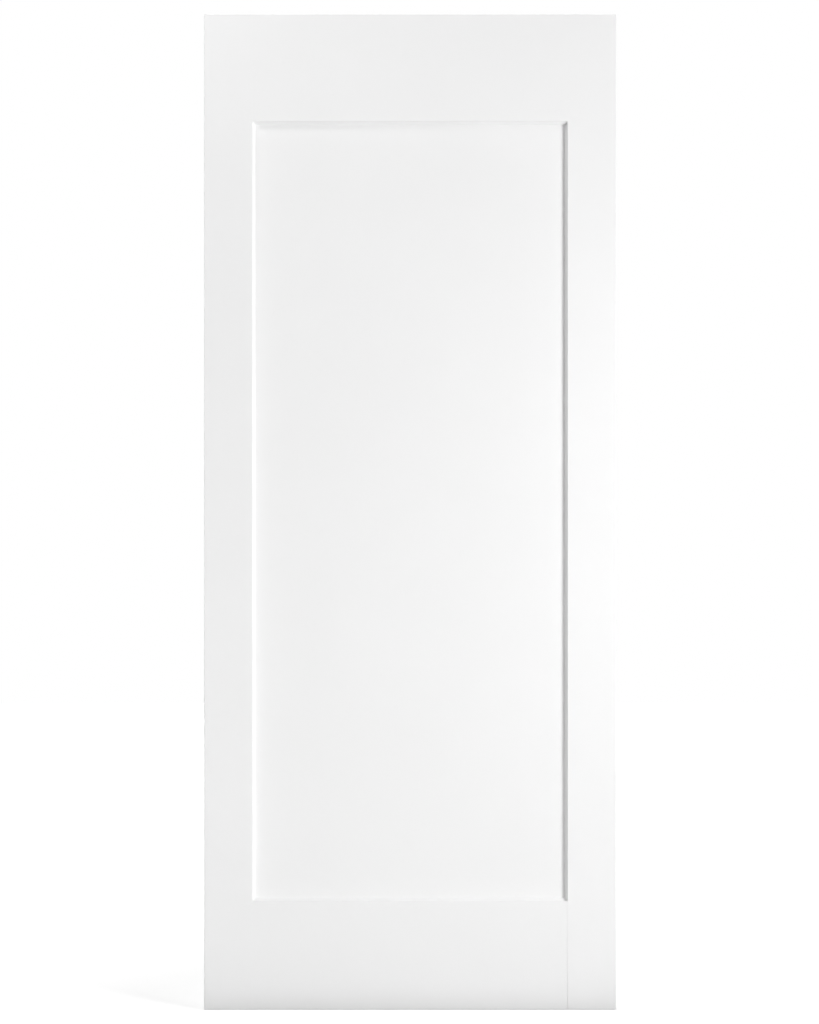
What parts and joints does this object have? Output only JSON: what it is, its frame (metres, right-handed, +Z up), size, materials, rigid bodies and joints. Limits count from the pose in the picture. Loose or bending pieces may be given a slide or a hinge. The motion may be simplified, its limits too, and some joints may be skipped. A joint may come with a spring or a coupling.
{
  "type": "barn door slab",
  "caption": "Tall white stile-and-rail sliding door leaf with a flat recessed panel, plain edges and a floor-guide slot; hangs from hangers fixed near its top.",
  "frame": {"origin": "middle of the leaf's top edge face, halfway through its thickness", "axes": "+X across the leaf to the right seen from the front, +Y from the front face to the back face, +Z up along the stiles"},
  "size_m": [0.8838, 0.0348, 2.1336],
  "materials": {
    "painted_skin": "satin white paint over a smooth hard fibreboard skin",
    "painted_wood": "satin white paint over laminated softwood, thinner on the sawn ends",
    "painted_panel": "satin white paint over a smooth fibreboard panel"
  },
  "bodies": {
    "root": {"flat_panel": "painted_panel", "left_stile_core": "painted_wood", "left_stile_outer_band": "painted_wood", "left_stile_inner_band": "painted_wood", "left_stile_front_skin": "painted_skin", "left_stile_back_skin": "painted_skin", "right_stile_core": "painted_wood", "right_stile_outer_band": "painted_wood", "right_stile_inner_band": "painted_wood", "right_stile_front_skin": "painted_skin", "right_stile_back_skin": "painted_skin", "top_rail_core": "painted_wood", "top_rail_inner_band": "painted_wood", "top_rail_front_skin": "painted_skin", "top_rail_back_skin": "painted_skin", "bottom_rail_core": "painted_wood", "bottom_rail_inner_band": "painted_wood", "bottom_rail_front_skin": "painted_skin", "bottom_rail_back_skin": "painted_skin"}
  },
  "joints": []
}
